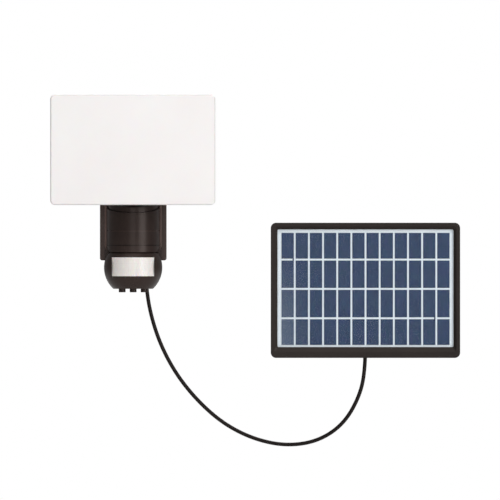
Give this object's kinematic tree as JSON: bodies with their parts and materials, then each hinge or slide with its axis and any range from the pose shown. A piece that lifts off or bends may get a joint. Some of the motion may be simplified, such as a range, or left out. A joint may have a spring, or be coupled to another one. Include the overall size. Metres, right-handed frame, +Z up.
{
  "type": "solar flood light",
  "caption": "Wall-mounted solar flood light: opal light head on a swivel arm, ball-shaped motion sensor under the neck, and a separate solar panel on a short lead.",
  "frame": {"origin": "centre of the lamp bracket's four wall screws, in the wall plane", "axes": "+Y into the wall, -Y out of the front of the light, +Z up, +X towards the solar panel"},
  "size_m": [0.4474, 0.122, 0.3846],
  "materials": {
    "dark_housing": "fine satin moulded plastic, warm anthracite",
    "opal_cover": "opal white, softly glossy",
    "sensor_opal": "milky, softly glossy",
    "plated_steel": "zinc plated",
    "screw_steel": "bright plated",
    "black_rubber": "matt",
    "foam_seal": "closed-cell foam",
    "cable_jacket": "smooth flexible jacket",
    "circuit_board": "green solder mask",
    "aluminium_board": "white solder mask on aluminium",
    "led_phosphor": "phosphor yellow",
    "white_plastic": "white sheet",
    "battery_wrap": "shrink sleeve",
    "holder_plastic": "moulded",
    "sensor_metal": "plated can",
    "light_cell": "clear lacquer",
    "clear_glass": "clear, lightly textured",
    "silicon_cell": "blue polycrystalline silicon",
    "tinned_copper": "tinned"
  },
  "bodies": {
    "root": {"wall_bracket": "plated_steel", "base_tray": "dark_housing", "base_seal": "black_rubber", "base_shell": "dark_housing", "neck_cover": "dark_housing", "base_screws": "screw_steel", "battery_cells": "battery_wrap", "battery_holder": "holder_plastic", "charge_board": "circuit_board", "base_cable_gland": "black_rubber", "solar_foot": "dark_housing", "foot_bolt": "plated_steel", "solar_cable": "cable_jacket"},
    "turret": {"turret": "dark_housing", "pan_nut": "dark_housing", "head_arm": "dark_housing"},
    "lamp_head": {"light_diffuser": "opal_cover", "head_seal": "black_rubber", "head_back": "dark_housing", "led_board": "aluminium_board", "led_chips": "led_phosphor", "led_reflector": "white_plastic", "led_board_screws": "screw_steel", "head_screws": "screw_steel", "head_bracket": "plated_steel", "head_bracket_screws": "screw_steel", "tilt_washers": "plated_steel", "tilt_bolt": "plated_steel"},
    "tilt_knob": {"tilt_knob": "dark_housing"},
    "sensor_yoke": {"sensor_yoke": "dark_housing", "sensor_yoke_nut": "dark_housing"},
    "sensor_ball": {"sensor_front_shell": "dark_housing", "sensor_rear_shell": "dark_housing", "sensor_lens": "sensor_opal", "sensor_screws": "screw_steel", "sensor_board": "circuit_board", "motion_element": "sensor_metal", "dusk_element": "light_cell", "dial_board": "circuit_board", "dial_trimmers": "holder_plastic"},
    "time_dial": {"time_dial": "dark_housing"},
    "dusk_dial": {"dusk_dial": "dark_housing"},
    "range_dial": {"range_dial": "dark_housing"},
    "solar_arm": {"solar_arm": "dark_housing"},
    "foot_knob": {"foot_knob": "dark_housing"},
    "solar_panel": {"panel_frame": "dark_housing", "panel_glass": "clear_glass", "solar_cells": "silicon_cell", "cell_ribbons": "tinned_copper", "panel_back_sheet": "white_plastic", "laminate_seal": "foam_seal", "panel_back": "dark_housing", "panel_screws": "screw_steel", "panel_hinge_plate": "dark_housing", "hinge_plate_screws": "screw_steel", "pan_pin": "plated_steel", "junction_box": "dark_housing", "junction_lid": "dark_housing", "diode_board": "circuit_board", "panel_cable_gland": "black_rubber"}
  },
  "joints": [
    {"name": "head_pan", "type": "hinge", "parent": "root", "child": "turret", "pos_m": [0, -0.05, 0], "axis": [0, 0, 1], "range_deg": [-45, 45]},
    {"name": "head_tilt", "type": "hinge", "parent": "turret", "child": "lamp_head", "pos_m": [0, -0.086, 0.04], "axis": [1, 0, 0], "range_deg": [-15, 35]},
    {"name": "tilt_clamp", "type": "hinge", "parent": "lamp_head", "child": "tilt_knob", "pos_m": [0.017, -0.086, 0.04], "axis": [1, 0, 0], "range_deg": [0, 180]},
    {"name": "sensor_pan", "type": "hinge", "parent": "root", "child": "sensor_yoke", "pos_m": [0, -0.05, -0.0652], "axis": [0, 0, 1], "range_deg": [-50, 50]},
    {"name": "sensor_tilt", "type": "hinge", "parent": "sensor_yoke", "child": "sensor_ball", "pos_m": [0, -0.05, -0.0652], "axis": [1, 0, 0], "range_deg": [-10, 20]},
    {"name": "time_turn", "type": "hinge", "parent": "sensor_ball", "child": "time_dial", "pos_m": [-0.012, -0.05, -0.0886], "axis": [0, 0, 1], "range_deg": [-135, 135]},
    {"name": "dusk_turn", "type": "hinge", "parent": "sensor_ball", "child": "dusk_dial", "pos_m": [0, -0.05, -0.0886], "axis": [0, 0, 1], "range_deg": [-135, 135]},
    {"name": "range_turn", "type": "hinge", "parent": "sensor_ball", "child": "range_dial", "pos_m": [0.012, -0.05, -0.0886], "axis": [0, 0, 1], "range_deg": [-135, 135]},
    {"name": "solar_tilt", "type": "hinge", "parent": "root", "child": "solar_arm", "pos_m": [0.254, -0.03, -0.08], "axis": [1, 0, 0], "range_deg": [-45, 15], "deforming": ["solar_cable"]},
    {"name": "foot_clamp", "type": "hinge", "parent": "root", "child": "foot_knob", "pos_m": [0.267, -0.03, -0.08], "axis": [1, 0, 0], "range_deg": [0, 180]},
    {"name": "solar_pan", "type": "hinge", "parent": "solar_arm", "child": "solar_panel", "pos_m": [0.254, -0.07, -0.08], "axis": [0, 0, 1], "range_deg": [-35, 35]}
  ]
}
